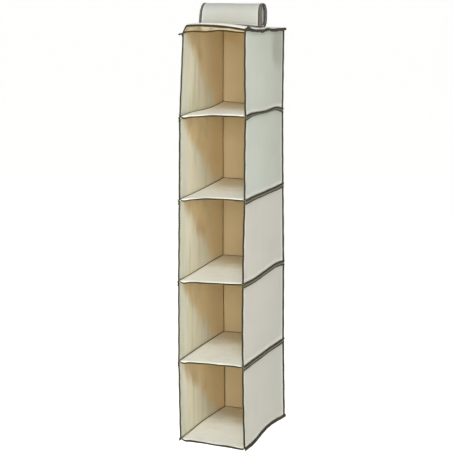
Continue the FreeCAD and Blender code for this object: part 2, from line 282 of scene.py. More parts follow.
class Piece:
    """Points and faces of one piece, gathered before its mesh is made. Each point also holds where it
    lies in the flat cut, and a share from 0 to 1, mostly by how near it is to an edge, that sets its
    painted highlight or painted shade."""

    def __init__(self):
        self.points, self.cuts, self.rims, self.faces, self.finishes = [], [], [], [], []
        self.count = 0

    def add(self, points, cut=None, rim=None):
        """Adds an array of points, and returns their numbers in the same arrangement."""
        points = np.asarray(points, float)
        shape = points.shape[:-1]
        size = int(np.prod(shape))
        cut = points if cut is None else np.concatenate([cut, np.zeros((*shape, 1))], -1)
        self.points.append(points.reshape(-1, 3))
        self.cuts.append(cut.reshape(-1, 3))
        self.rims.append(np.zeros(size) if rim is None else np.broadcast_to(rim, shape).ravel())
        numbers = np.arange(self.count, self.count + size).reshape(shape)
        self.count += size
        return numbers

    def quads(self, a, b, c, d, finish=0):
        corners = np.stack([np.ravel(n) for n in (a, b, c, d)], 1)
        self.faces += corners.tolist()
        self.finishes += [finish] * len(corners) if np.isscalar(finish) else list(np.ravel(finish))

    def grid(self, numbers, finish=0):
        self.quads(numbers[:-1, :-1], numbers[1:, :-1], numbers[1:, 1:], numbers[:-1, 1:], finish)

    def shell(self, outer, inner, finishes=(0, 0, 0), cut=None, rim=None, inner_shade=None):
        """A closed sheet between two grids of points: its outer face, inner face and edges."""
        out = self.add(outer, cut, rim)
        back = self.add(inner, cut, rim if inner_shade is None else inner_shade)
        self.grid(out, finishes[0])
        self.grid(back, finishes[1])
        for side in (np.s_[0, :], np.s_[-1, :], np.s_[:, 0], np.s_[:, -1]):
            a, b = out[side], back[side]
            self.quads(a[:-1], a[1:], b[1:], b[:-1], finishes[2])

    def tube(self, rows, finish=0, cut=None, rim=None, closed=False):
        """A closed tube through rows of section points. Each section runs out along one side and
        back along the other, so an end is closed by joining its first point to its last, and so on.
        finish is one number or one for each side of the section."""
        numbers = self.add(rows, cut, rim)
        a, b = numbers[:-1], numbers[1:]
        if closed:
            a, b = numbers, np.roll(numbers, -1, 0)
        sides = finish if np.isscalar(finish) else np.broadcast_to(finish, a.shape)
        self.quads(a, b, np.roll(b, -1, 1), np.roll(a, -1, 1), sides)
        if closed:
            return
        half = rows.shape[1] // 2
        first = np.arange(half - 1)
        last = rows.shape[1] - 1 - first
        for end in (numbers[0], numbers[-1]):
            self.quads(end[first], end[first + 1], end[last - 1], end[last], np.max(finish))

    def stitches(self, path, out, finish, pitch=3.6 * MM, length=2.5 * MM, radius=0.28 * MM):
        """A row of stitches along a line of points. Each dips into the cloth at both ends."""
        run = run_along(path)
        middles = np.arange(pitch / 2, run[-1], pitch)

        def along(values, at):
            return spots(*[np.interp(at, run, values[:, n]) for n in range(3)])

        ends = np.array([-0.5, -0.25, 0.25, 0.5]) * length
        heights = np.array([-0.4, 0.75, 0.75, -0.4]) * radius
        centres = along(path, middles[:, None] + ends)
        up = along(out, middles[:, None] + ends)
        up /= np.linalg.norm(up, axis=-1, keepdims=True)
        ahead = along(path, middles[:, None] + ends + radius) - centres
        ahead /= np.maximum(np.linalg.norm(ahead, axis=-1, keepdims=True), 1e-9)
        side = np.cross(ahead, up)
        centres = centres + up * heights[:, None]
        angles = np.arange(5) * 2 * math.pi / 5
        around = np.cos(angles)[:, None] * up[..., None, :] + np.sin(angles)[:, None] * side[..., None, :]
        widths = np.array([0.55, 1, 1, 0.55]) * radius
        numbers = self.add(centres[..., None, :] + around * widths[:, None, None])
        a, b = numbers[:, :-1], numbers[:, 1:]
        self.quads(a, b, np.roll(b, -1, -1), np.roll(a, -1, -1), finish)
        for end in (numbers[:, 0], numbers[:, -1]):
            self.faces += end.tolist()
            self.finishes += [finish] * len(end)

    def make(self, name, looks, body=None):
        """The finished object, riding on a body."""
        mesh = bpy.data.meshes.new(name)
        mesh.from_pydata(np.concatenate(self.points).tolist(), [], self.faces)
        for look in looks:
            mesh.materials.append(look)
        mesh.polygons.foreach_set("material_index", np.array(self.finishes, np.int32))
        mesh.polygons.foreach_set("use_smooth", np.ones(len(self.faces), bool))
        cut = mesh.attributes.new("cut", "FLOAT_VECTOR", "POINT")
        cut.data.foreach_set("vector", np.concatenate(self.cuts).astype(np.float32).ravel())
        rim = mesh.attributes.new("rim", "FLOAT", "POINT")
        rim.data.foreach_set("value", np.concatenate(self.rims).astype(np.float32))
        form = bmesh.new()
        form.from_mesh(mesh)
        bmesh.ops.recalc_face_normals(form, faces=form.faces)
        form.to_mesh(mesh)
        form.free()
        mesh.update()
        piece = bpy.data.objects.new(name, mesh)
        bpy.context.scene.collection.objects.link(piece)
        if body:
            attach(piece, body)
        return piece


def sweep(path, out, up, section):
    """Rows of section points along a path. The section is (out, up) pairs, or one set for each
    point of the path, and so are the two directions."""
    section = np.broadcast_to(section, (len(path), *np.shape(section)[-2:]))
    out, up = (np.broadcast_to(way, path.shape)[:, None] for way in (out, up))
    return path[:, None] + out * section[..., :1] + up * section[..., 1:]


def ring(count):
    """A round section of radius 1."""
    return arc((0, 0), 1, 0, 360 - 360 / count, count)


def unit(vectors):
    return vectors / np.maximum(np.linalg.norm(vectors, axis=-1, keepdims=True), 1e-12)


def grid_normals(grid):
    """Normals of a grid of points, by differences along its two directions."""
    return unit(np.cross(np.gradient(grid, axis=0), np.gradient(grid, axis=1)))


def arc(centre, radius, start, end, count):
    """Points of an arc, by its angles in degrees."""
    angles = np.radians(np.linspace(start, end, count))
    return np.stack([centre[0] + radius * np.cos(angles), centre[1] + radius * np.sin(angles)], 1)


def folded_tape(depth, half, thickness, steps=4, inner=None):
    """The section of a tape folded round an edge, as (depth, across) pairs: out along its outer
    side, round the fold at depth 0, and back along its inner side, which may be narrower."""
    inside = half - thickness
    outer_fold = arc((half, 0), half, 90, 270, steps * 2)
    inner_fold = arc((half, 0), inside, 270, 90, steps * 2)
    inner = inner or depth
    lips = [(inner, -half), (inner, -inside)]
    return np.array([(depth, half), *outer_fold, *lips, *inner_fold, (depth, inside)])


# ---- materials ----


def tone(code):
    """A colour from its sRGB code."""
    parts = [int(code[n : n + 2], 16) / 255 for n in (0, 2, 4)]
    return (*[p / 12.92 if p <= 0.04045 else ((p + 0.055) / 1.055) ** 2.4 for p in parts], 1)


WEAVE_PITCH = 0.9 * MM
TAPE_RIBS = 0.7 * MM


class Look:
    """A material whose nodes are added one at a time."""

    def __init__(self, name):
        self.material = bpy.data.materials.new(name)
        self.material.use_nodes = True
        self.tree = self.material.node_tree
        self.surface = self.tree.nodes["Principled BSDF"]
        self.place = self.node("TexCoord", "Object")
        self.cut = self.node("Attribute", "Vector", attribute_name="cut")
        # The share of painted highlight or painted shade at each point.
        self.rim = self.node("Attribute", "Fac", attribute_name="rim")

    def put(self, socket, value):
        if isinstance(value, bpy.types.NodeSocket):
            self.tree.links.new(value, socket)
        else:
            socket.default_value = value

    def node(self, kind, output, values=None, **settings):
        """Adds a node, and returns one of its outputs. values are its inputs, by name or number."""
        node = self.tree.nodes.new("ShaderNode" + kind)
        for name, value in settings.items():
            setattr(node, name, value)
        for name, value in (values or {}).items():
            self.put(node.inputs[name], value)
        return node.outputs[output]

    def math(self, operation, *values):
        return self.node("Math", 0, dict(enumerate(values)), operation=operation)

    def add(self, *values):
        return self.math("ADD", *values)

    def times(self, *values):
        return self.math("MULTIPLY", *values)

    def split(self, vector):
        return [self.node("SeparateXYZ", axis, {0: vector}) for axis in range(3)]

    def noise(self, vector, scale, detail=2, stretch=(1, 1, 1)):
        """Noise from 0 to 1, with so many lumps to a metre."""
        size = tuple(scale * share for share in stretch)
        vector = self.node("Mapping", 0, {"Vector": vector, "Scale": size})
        return self.node("TexNoise", 0, {"Vector": vector, "Scale": 1, "Detail": detail})

    def ramp(self, value, start, end, first=0, last=1, kind="SMOOTHSTEP"):
        values = {"Value": value, "From Min": start, "From Max": end, "To Min": first, "To Max": last}
        return self.node("MapRange", 0, values, interpolation_type=kind)

    def mix(self, share, first, last):
        """Colours mixed by a share from 0 to 1. Each is a socket or an sRGB code."""
        first, last = (tone(colour) if isinstance(colour, str) else colour for colour in (first, last))
        values = {0: share, 6: first, 7: last}
        return self.node("Mix", 2, values, data_type="RGBA", clamp_factor=True)

    def patches(self, scale, first=0, last=1, start=0.3, **noise):
        """Soft patches from one value to another, with so many to a metre."""
        return self.ramp(self.noise(self.place, scale, **noise), start, 1 - start, first, last)

    def streaked(self, colour, code, amount):
        """A colour with faint upright streaks of another."""
        streaks = self.noise(self.place, 55, detail=3, stretch=(1, 1, 0.12))
        return self.mix(self.ramp(streaks, 0.42, 0.72, 0, amount), colour, code)

    def ribs(self, along, pitch):
        """A wave from -1 to 1 with a given pitch."""
        return self.math("SINE", self.times(along, 2 * math.pi / pitch))

    def finish(self, colour, rough, height, depth, sheen=0.0):
        """Sets the surface's colour, roughness and bump, and returns the material."""
        bump = {"Height": height, "Distance": depth, "Strength": 1}
        self.put(self.surface.inputs["Base Color"], colour)
        self.put(self.surface.inputs["Roughness"], rough)
        self.put(self.surface.inputs["Normal"], self.node("Bump", 0, bump))
        self.put(self.surface.inputs["Sheen Weight"], sheen)
        self.put(self.surface.inputs["Specular IOR Level"], 0.2)
        return self.material


def cloth_look(name, paint):
    """Cloth in a plain weave. paint(look) gives its colour."""
    look = Look(name)
    weave = look.times(*[look.ribs(way, WEAVE_PITCH) for way in look.split(look.cut)[:2]])
    fibre = look.noise(look.cut, 2600, detail=3)
    slub = look.noise(look.cut, 420, stretch=(1, 0.08, 1))
    height = look.add(look.times(weave, 0.5), look.add(fibre, slub))
    colour = look.mix(look.ramp(weave, -1, 1, 0, 0.10, kind="LINEAR"), paint(look), "8E8A78")
    rough = look.ramp(fibre, 0.3, 0.7, 0.78, 0.95, kind="LINEAR")
    return look.finish(colour, rough, height, 0.10 * MM, sheen=0.12)


def drifting(look, first, second, streak, patches=7, amount=0.35):
    """Two tones that drift into each other, with faint upright streaks of a third."""
    return look.streaked(look.mix(look.patches(patches, start=0.35), first, second), streak, amount)


def outside_paint(look):
    """Greenish on the upper two tiers and pinker below, dimmer towards the rear, and darker with painted
    shade of folds at the top of the right side's rear. A painted highlight where rim is above 0, and
    painted shade under a seam, where it is below."""
    along, height, _ = look.split(look.cut)
    drift = look.patches(5, -0.35, 0.35, stretch=(1, 0.7, 1.2))
    rear = look.add(look.ramp(along, -HALF_DEPTH, HALF_DEPTH, kind="LINEAR"), drift)
    upper = look.mix(rear, "B4B9AE", "A6AA9C")
    lower = look.mix(rear, "B9B5AB", "AFAEA3")
    change = LEVELS[2]
    colour = look.mix(look.ramp(height, change - 5 * MM, change + 5 * MM), lower, upper)
    # Painted shade of folds at the top of the right side's rear.
    corner = look.add(look.ramp(along, 0.01, 0.09), look.ramp(height, -0.17, -0.07))
    fold_shade = look.ramp(look.add(corner, drift), 1.2, 2, 0, 0.8)
    right = look.ramp(look.split(look.place)[0], WALL_FACE - 6 * MM, WALL_FACE - 3 * MM)
    colour = look.mix(look.times(fold_shade, right), colour, "8A8C7C")
    streaks = look.noise(look.place, 40, detail=3, stretch=(1, 1, 0.15))
    colour = look.mix(look.ramp(streaks, 0.5, 0.75, 0, 0.2), colour, "A8AA9A")
    # Painted highlight where rim is above 0, painted shade under a seam where it is below.
    colour = look.mix(look.rim, colour, "F2F0E0")
    return look.mix(look.times(look.rim, -1), colour, "83847A")


def inside_paint(look):
    """Cream near the opening, with tan painted shade where rim says that the shade is deep, browner above 1.
    """
    along = look.split(look.cut)[0]
    near = look.math("ABSOLUTE", look.add(along, HALF_DEPTH))
    cream = look.mix(look.ramp(near, 15 * MM, 70 * MM), "CFD0C2", "EAE4CE")
    cream = look.streaked(cream, "C6C59C", 0.55)
    blotch = look.patches(11, -40 * MM, 40 * MM, start=0.35)
    # Tan painted shade: lighter further in, and browner where rim is above 1.
    inward = look.ramp(look.add(near, blotch), 50 * MM, 200 * MM)
    deep = look.mix(inward, "CBB181", "ECD3A1")
    deep = look.mix(look.ramp(look.rim, 1.1, 1.3), deep, "D0BB92")
    sway = look.noise(look.place, 24, detail=3, stretch=(1, 1, 0.3))
    share = look.add(look.rim, look.ramp(sway, 0.3, 0.7, -0.28, 0.28, kind="LINEAR"))
    return look.mix(look.ramp(share, 0.15, 0.85), cream, deep)


def shelf_paint(look):
    """Greenish white in front, and tan painted shade towards the rear, further forward on its right."""
    across, run, _ = look.split(look.cut)
    sway = look.patches(14, -25 * MM, 25 * MM, detail=3)
    reach = look.add(look.math("MULTIPLY_ADD", across, -0.4, run), sway)
    white = drifting(look, "F3F3EC", "F1F3EA", "E6E2D2", 9)
    # Tan painted shade towards the rear.
    colour = look.mix(look.ramp(reach, 60 * MM, 190 * MM), "D9CCAC", white)
    # Painted highlight along its edges.
    return look.mix(look.rim, colour, "F0EEDE")


def fascia_paint(look):
    """Tan, darkened towards its left end by the painted shade of a fold."""
    across = look.split(look.cut)[0]
    shade_sway = look.patches(45, -30 * MM, 30 * MM, detail=3)
    right = look.ramp(look.add(across, shade_sway), -60 * MM, 10 * MM)
    # Painted shade of a fold towards the left end.
    colour = look.mix(right, drifting(look, "847A5E", "8E8262", "5E5638", 25, 0.7), "AE9F7E")
    # Painted shade towards its hem.
    return look.mix(look.rim, colour, "8E7E58")


def plain_paint(*tones, rim, amount=0.35):
    """Two drifting tones with streaks of a third, and a painted highlight along the edges."""
    return lambda look: look.mix(look.rim, drifting(look, *tones, amount=amount), rim)


def tape_look(name, tones, edge_shade_tone):
    """Ribbed binding tape, with painted shade at its edges, folds and creases, and rubbed paler in spots."""
    look = Look(name)
    worn = look.ramp(look.noise(look.place, 260, detail=4), 0.62, 0.8, 0, 0.35)
    colour = look.mix(worn, look.mix(look.patches(30), *tones[:2]), tones[2])
    # Painted shade where rim is high.
    colour = look.mix(look.rim, colour, edge_shade_tone)
    along = look.split(look.cut)[1]
    fibre = look.noise(look.cut, 2400, detail=3)
    height = look.add(look.times(look.ribs(along, TAPE_RIBS), 0.5), fibre)
    rough = look.ramp(fibre, 0.3, 0.7, 0.6, 0.85, kind="LINEAR")
    return look.finish(colour, rough, height, 0.12 * MM)


def thread_look(name, dark, pale):
    look = Look(name)
    twist = look.noise(look.place, 1800, detail=1, stretch=(1, 1, 0.4))
    colour = look.mix(look.ramp(twist, 0.35, 0.65), dark, pale)
    return look.finish(colour, look.ramp(twist, 0, 1, 0.45, 0.7), twist, 0.1 * MM, sheen=0.1)


def card_look():
    """Grey-brown fibreboard, flecked and a little rough at its cut edges."""
    look = Look("fibreboard")
    fleck = look.noise(look.place, 700, detail=5)
    colour = look.mix(look.patches(25, detail=3), "8C7A60", "A08D70")
    colour = look.mix(look.ramp(fleck, 0.58, 0.7), colour, "5E4F3C")
    return look.finish(colour, look.ramp(fleck, 0.2, 0.8, 0.7, 0.95), fleck, 0.15 * MM)


def pile_look(name, dark, pale):
    """The fuzz of hook-and-loop tape."""
    look = Look(name)
    tuft = look.noise(look.place, 900, detail=4)
    colour = look.mix(look.ramp(tuft, 0.3, 0.7), dark, pale)
    return look.finish(colour, look.ramp(tuft, 0.2, 0.8, 0.7, 0.95), tuft, 0.4 * MM, sheen=0.3)


def floor_look():
    """A white studio floor, lit so that it fades into the white round it."""
    look = Look("studio_floor")
    speck = look.noise(look.place, 3, detail=2)
    colour = look.mix(look.ramp(speck, 0.3, 0.7), "F6F6F3", "F4F4F1")
    look.put(look.surface.inputs["Emission Color"], (1, 1, 1, 1))
    look.put(look.surface.inputs["Emission Strength"], FLOOR_GLOW)
    return look.finish(colour, look.ramp(speck, 0, 1, 0.85, 0.95), speck, 0.01 * MM)


OUTSIDE = cloth_look("canvas_outside", outside_paint)
INSIDE = cloth_look("canvas_inside", inside_paint)
SHELF = cloth_look("canvas_shelf", shelf_paint)
TOP = cloth_look("canvas_top", plain_paint("F2F0E6", "F0EAE0", "E4E2D6", rim="FAF6EA"))
FASCIA = cloth_look("canvas_fascia", fascia_paint)
STRAP_TONES = ("B2B5B1", "B4B5AC", "AAABA4")
STRAP = cloth_look("canvas_strap", plain_paint(*STRAP_TONES, rim="C8C8BE", amount=0.2))
BINDING = tape_look("binding_tape", ("2C2A1D", "383526", "524F3E"), "1E1C12")
WEB = tape_look("seam_web", ("6B6753", "787360", "A09C88"), "34301F")
STRAP_TAPE = tape_look("strap_tape", ("64625A", "72706A", "98958E"), "1C1B15")
HEM = tape_look("fascia_hem", ("2E220C", "3A2B12", "52401E"), "201808")
INNER_TAPE = tape_look("inner_tape", ("F0E8D6", "F4ECDC", "DED4BE"), "C0B496")
CORNER_TAPE = tape_look("corner_tape", ("8A7042", "967C4C", "A08A5C"), "7C6438")
PIPING = tape_look("inner_piping", ("6E582E", "7C663A", "947E50"), "5A4622")
THREAD = thread_look("binding_thread", "7C7862", "A5A18C")
CARD = card_look()
LOOPS = pile_look("loop_pile", "B9B6AA", "DEDCD2")
HOOKS = pile_look("hook_nylon", "A5A298", "CFCDC3")


# ---- fabric walls ----

PANEL_CELL = 5 * MM
# How much larger than its place a panel is cut along X, Y and Z, and the most that it puffs out.
SLACK = (1.012, 1.012, 1.003)
PUFF = 4 * MM
HANG_FRAMES = 22
OUTWARD = {"left": (-1, 0, 0), "right": (1, 0, 0), "back": (0, 1, 0)}
# How far the tapes reach over the cloth: the rear ones outside and inside. The front ones are dark
# inside only as far as DARK_WRAP.
REAR_TAPE_DEPTH = 14 * MM
CORNER_TAPE_DEPTH = 2.6 * MM
DARK_WRAP = 3.2 * MM
TAPE_THICK = 0.75 * MM
TAPE_SWAY = 0.25 * MM
# How far stitches stand off the cloth, and in from a tape's edge.
STITCH_PROUD = 0.05 * MM
STITCH_INSET = 1.4 * MM
HEM_STITCH = 12 * MM
# The gathers beside a seam and how far they reach, and the ridge beside a tape.
PUCKER = 0.35 * MM
PUCKER_REACH = 14 * MM
RIDGE_HEIGHT = 0.9 * MM


def body_above(tier):
    """The body that a compartment's cloth hangs from."""
    return "top" if tier == 1 else f"tier_{tier - 1}"


def wall_top(tier, y):
    return crown(y) - CLOTH if tier == 1 else high(f"left_wall_{tier}").z + 0 * y


def panel_grid(side, tier):
    """The middle of one wall panel, and where each point lies in the flat cut."""
    lowest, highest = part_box(f"{side}_wall_{tier}")
    start, end = (lowest.x, highest.x) if side == "back" else (lowest.y, highest.y)
    across = np.linspace(start, end, round((end - start) / PANEL_CELL) + 1)[:, None]
    share = np.linspace(0, 1, round(PITCH / PANEL_CELL) + 1)[None, :]
    if side == "back":
        x, y, top = across, (lowest.y + highest.y) / 2, highest.z
    else:
        x, y, top = (lowest.x + highest.x) / 2, across, wall_top(tier, across)
    z = lowest.z + share * (top - lowest.z)
    return settle(spots(x, y, z + 0 * across)), spots(across, z + 0 * across)


def facing(grid, side):
    """A panel's normals, on its outer side."""
    normals = grid_normals(grid)
    return normals * np.sign((normals @ np.array(OUTWARD[side]))[..., None])


def hang(grids):
    """Lets all the panels hang together as cloth that is cut a little too wide, held along their
    seams, and returns how far each point moves."""
    sheets = Piece()
    sewn, cuts = [], []
    for grid in grids:
        numbers = sheets.add(grid)
        sheets.grid(numbers)
        inner = np.zeros(numbers.shape, bool)
        inner[1:-1, 1:-1] = True
        sewn += numbers[~inner].tolist()
        middle = grid.mean((0, 1))
        cuts.append((middle + (grid - middle) * SLACK).reshape(-1, 3))
    start = np.concatenate(sheets.points)
    held = np.zeros(len(start), bool)
    held[sewn] = True
    # A slight waviness, so that the slack cloth doesn't stay flat.
    stir = 0.4 * MM * np.sin(start @ np.array([61, 83, 47]))
    mesh = bpy.data.meshes.new("hanging_cloth")
    mesh.from_pydata((start + np.where(held, 0, stir)[:, None] * [1, 0.5, 0]).tolist(), [], sheets.faces)
    cloth = bpy.data.objects.new("hanging_cloth", mesh)
    bpy.context.scene.collection.objects.link(cloth)
    cloth.vertex_groups.new(name="sewn").add(sewn, 1, "REPLACE")
    cloth.shape_key_add(name="hung")
    cut = cloth.shape_key_add(name="cut")
    cut.data.foreach_set("co", np.concatenate(cuts).astype(np.float32).ravel())
    settings = cloth.modifiers.new("hang", "CLOTH").settings
    settings.vertex_group_mass = "sewn"
    settings.rest_shape_key = cut
    settings.quality = 6
    settings.mass = 0.2
    settings.tension_stiffness = settings.compression_stiffness = 20
    settings.shear_stiffness = 8
    settings.bending_stiffness = 1.5
    settings.air_damping = 3
    for number in range(1, HANG_FRAMES + 1):
        bpy.context.scene.frame_set(number)
    hung = cloth.evaluated_get(bpy.context.evaluated_depsgraph_get()).to_mesh()
    end = np.zeros(len(start) * 3)
    hung.vertices.foreach_get("co", end)
    moved = end.reshape(-1, 3) - start
    bpy.context.scene.frame_set(1)
    bpy.data.objects.remove(cloth)
    splits = np.cumsum([grid.shape[0] * grid.shape[1] for grid in grids])[:-1]
    return [part.reshape(grid.shape) for part, grid in zip(np.split(moved, splits), grids, strict=True)]


def puckers(tier, distance, along):
    """Small gathers that run up from a seam and die out over a finger's width."""
    wave = np.sin(along * 410 + tier) + 0.7 * np.sin(along * 690 + 2 * tier) * np.sin(along * 93)
    return PUCKER * np.exp(-distance / PUCKER_REACH) * wave


def shade(side, grid, drop):
    """How much painted shade the inside of a panel takes: most of the back, and the sides deep under a
    shelf.
    """
    if side == "back":
        return 1.3 - 0.7 * np.exp(-drop / (22 * MM)) + 0 * grid[..., 0]
    depth = grid[..., 1] + HALF_DEPTH
    slant = (depth * 0.8 - drop) / (70 * MM) + 0.45
    return np.clip(np.maximum(slant, (depth - 0.2) / 0.1), 0, 1) * np.clip(depth / (40 * MM), 0, 1)


def wall_panels():
    """All fifteen wall panels, with the tapes round their upright edges."""
    keys = [(side, tier) for tier in range(1, TIERS + 1) for side in ("left", "right", "back")]
    grids, cuts = zip(*[panel_grid(*key) for key in keys], strict=True)
    moves = hang(grids)
    for (side, tier), grid, cut, move in zip(keys, grids, cuts, moves, strict=True):
        far = np.maximum(np.linalg.norm(move, axis=-1, keepdims=True), 1e-9)
        move = move / far * PUFF * np.tanh(far / PUFF)
        across, up = cut[..., 0], cut[..., 1]
        beside = np.minimum(across - across.min(), across.max() - across)
        below, above = up - up[:, :1], up[:, -1:] - up
        gather = puckers(tier, below, across) + puckers(tier + 3, above, across)
        depth = np.where(across < 0, TAPE_DEPTH, TAPE_DEPTH if side == "back" else REAR_TAPE_DEPTH)
        roll = RIDGE_HEIGHT * bump(beside - depth, 4 * MM, 3 * MM)
        if side != "back":
            # The cloth lies flat under the tapes.
            loose = np.clip((beside - depth + 2 * MM) / (14 * MM), 0, 1)
            loose = loose**2 * (3 - 2 * loose)
            move, gather = move * loose[..., None], gather * loose
        gather = gather * np.clip(beside / (8 * MM), 0, 1)
        gather = gather * np.clip(np.minimum(below, above) / (4 * MM), 0, 1)
        roll = roll * np.clip(above / (20 * MM), 0, 1)
        middle = grid + move + facing(grid, side) * (gather + roll)[..., None]
        normal = facing(middle, side)
        beside = np.maximum(beside - depth, 0)
        # Painted highlight just above the bottom seam and beside the tapes, and painted shade under the top
        # seam.
        rim = 0.95 * np.exp(-np.maximum(below - 3 * MM, 0) / (3 * MM)) + 0 * beside
        if side != "back":
            rim = rim + 0.85 * np.exp(-beside / (2.5 * MM))
        rim = np.minimum(rim - 0.8 * bump(above, 0, 9 * MM), 1)
        piece = Piece()
        half = normal * CLOTH / 2
        # The inside takes painted shade.
        shades = shade(side, grid, above)
        piece.shell(middle + half, middle - half, (0, 1, 1), cut, rim, shades)
        if tier == 1 and side != "back":
            hem_stitches(piece, middle + half, above, normal)
        panel = piece.make(f"{side}_panel_{tier}", (OUTSIDE, INSIDE, THREAD), body_above(tier))
        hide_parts(f"{side}_wall_{tier}")
        fold_flat(panel, tier, grid[:, 0, 2].mean(), grid[:, -1, 2].mean())
        around = [] if side == "back" else [edge_tape(end, side, tier) for end in ("front", "rear")]


def hem_stitches(piece, face, above, normal):
    """The row of stitches that holds the top binding's hem, a finger's width below it."""
    columns = range(4, len(face) - 3)
    row = [
        [np.interp(-HEM_STITCH, -above[column], face[column, :, axis]) for axis in range(3)]
        for column in columns
    ]
    out = normal[list(columns), -3]
    piece.stitches(np.array(row), out, 2, pitch=4.5 * MM, length=3.6 * MM, radius=0.4 * MM)


def fold_flat(piece, tier, bottom, top):
    """Gives a piece of a compartment's cloth a mesh of its own."""
    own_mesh(piece)


def edge_tape(end, side, tier):
    """The tape folded round one upright edge of a side panel, with a row of stitches on each face."""
    outward = np.array(OUTWARD[side], float)
    node = f"{end}_edge_tapes_{tier}"
    heights = np.linspace(low(node).z, wall_top(tier, HALF_DEPTH), 49)
    if end == "front":
        back, depth, inner_depth, inner = -1, TAPE_DEPTH, TAPE_DEPTH, INNER_TAPE
        section = folded_tape(depth, TAPE_HALF, TAPE_THICK, steps=5)
        wrap = [(DARK_WRAP, -TAPE_HALF), (DARK_WRAP, TAPE_THICK - TAPE_HALF)]
        lip = len(section) // 2
        section = np.insert(section, [lip - 1, lip + 1], wrap, 0)
        turned = DARK_WRAP / 2
    else:
        back, depth, inner_depth, inner = 1, REAR_TAPE_DEPTH, CORNER_TAPE_DEPTH, CORNER_TAPE
        section = folded_tape(depth, TAPE_HALF, TAPE_THICK, steps=5, inner=inner_depth)
        turned = TAPE_HALF * 0.9
    inward = np.array([0.0, -back, 0])
    path = spots(outward[0] * WALL_MIDDLE, back * HALF_DEPTH, heights)
    inner_side = (section[:, 1] < -TAPE_HALF / 2) & (section[:, 0] > turned)
    sway = outward * TAPE_SWAY * np.sin(heights * 130 + tier * 2 + back)[:, None]
    rows = settle(sweep(path, inward, outward, section)) + sway[:, None]
    cut = spots(run_along(section)[None, :], heights[:, None])
    # Painted shade along the tape's lips, where they lie on the cloth.
    lips = np.isclose(section[:, 0], depth) | np.isclose(section[:, 0], inner_depth)
    piece = Piece()
    sides = np.where(inner_side & np.roll(inner_side, -1), 2, 0)
    piece.tube(rows, sides, cut, lips * 0.8)
    for face, edge in ((1, depth), (-1, inner_depth)):
        line = settle(path + inward * (edge - STITCH_INSET)) + sway
        way = np.broadcast_to(outward * face, line.shape)
        piece.stitches(line + way * (TAPE_HALF + STITCH_PROUD), way, 1)
    tape = piece.make(f"tape_{end}_{side}_{tier}", (BINDING, THREAD, inner), body_above(tier))
    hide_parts(node)
    fold_flat(tape, tier, *settle(path[[0, -1]])[:, 2])
    return tape


# ---- bound seams round the shelves ----

SEAM_CORNER = 4 * MM
SEAM_STEP = 4 * MM
SEAM_GAP = 0.05 * MM
# How much flatter a seam lies along the left side.
LEFT_FLAT = 0.35
# The face of a bound seam: height above the level and reach, in mm. It runs from its upper bead over
# the flat web to its lower bead, and the lowest shelf's seam has one bead.
TWO_BEADS = (
    (4.4, 0.3), (4.2, 1.2), (3.7, 1.9), (2.9, 2.2), (2.0, 2.1), (1.3, 1.6), (0.8, 1.0), (0.2, 0.8),
    (-2.5, 0.7), (-5.0, 0.8), (-5.4, 1.0), (-5.8, 1.5), (-6.3, 1.8), (-6.9, 1.8), (-7.4, 1.5),
    (-7.8, 0.9), (-8.0, 0.3),
)
ONE_BEAD = (
    (6.2, 0.3), (6.0, 1.3), (5.3, 2.3), (3.9, 2.9), (0.7, 2.9), (-0.8, 2.3), (-1.6, 1.3), (-1.8, 0.3),
)
# The web's sides and the creases among the two beads' points, darkened with painted shade, and how high
# and how far out the web's stitches lie.
WEB_SIDES = [7, 8]
CREASES = [0, 6, 7, 9, 16]
WEB_LINE = -2.4 * MM
WEB_REACH = 0.72 * MM


def run_round(closed=False):
    """The plan of a seam round the left side, the back and the right side, or all the way round:
    points, outward directions, and how far along its side each point is."""
    w, d, r = HALF_WIDTH, HALF_DEPTH, SEAM_CORNER
    sides, backs = round(2 * d / SEAM_STEP), round(2 * w / SEAM_STEP)
    legs = [
        ((-w, -d + r * closed), (-w, d - r), sides),
        ((-w + r, d), (w - r, d), backs),
        ((w, d - r), (w, -d + r * closed), sides),
        ((w - r, -d), (-w + r, -d), backs),
    ][: 3 + closed]
    path, out, share = [], [], []
    for number, (start, end, count) in enumerate(legs):
        away = 180 - 90 * number
        steps = np.linspace(0, 1, count)[:, None]
        path.append(np.array(start) + (np.array(end) - start) * steps)
        out.append(np.repeat(arc((0, 0), 1, away, away, 1), count, 0))
        share.append(steps[:, 0] if number % 2 == 0 else 0 * steps[:, 0])
        if number < len(legs) - 1 or closed:
            turn = arc((0, 0), 1, away, away - 90, 8)[1:-1]
            centre = np.array(end) - out[-1][0] * r
            path.append(centre + turn * r)
            out.append(turn)
            share.append(np.zeros(len(turn)))
    path, out = np.concatenate(path), np.concatenate(out)
    flat = np.zeros((len(path), 1))
    return np.hstack([path, flat]), np.hstack([out, flat]), np.concatenate(share)


def flat_backed(face):
    """A closed section from its face: the face, and back along a flat side against the cloth."""
    face = np.array(face)
    return np.concatenate([face, face[::-1] * [1, 0]])


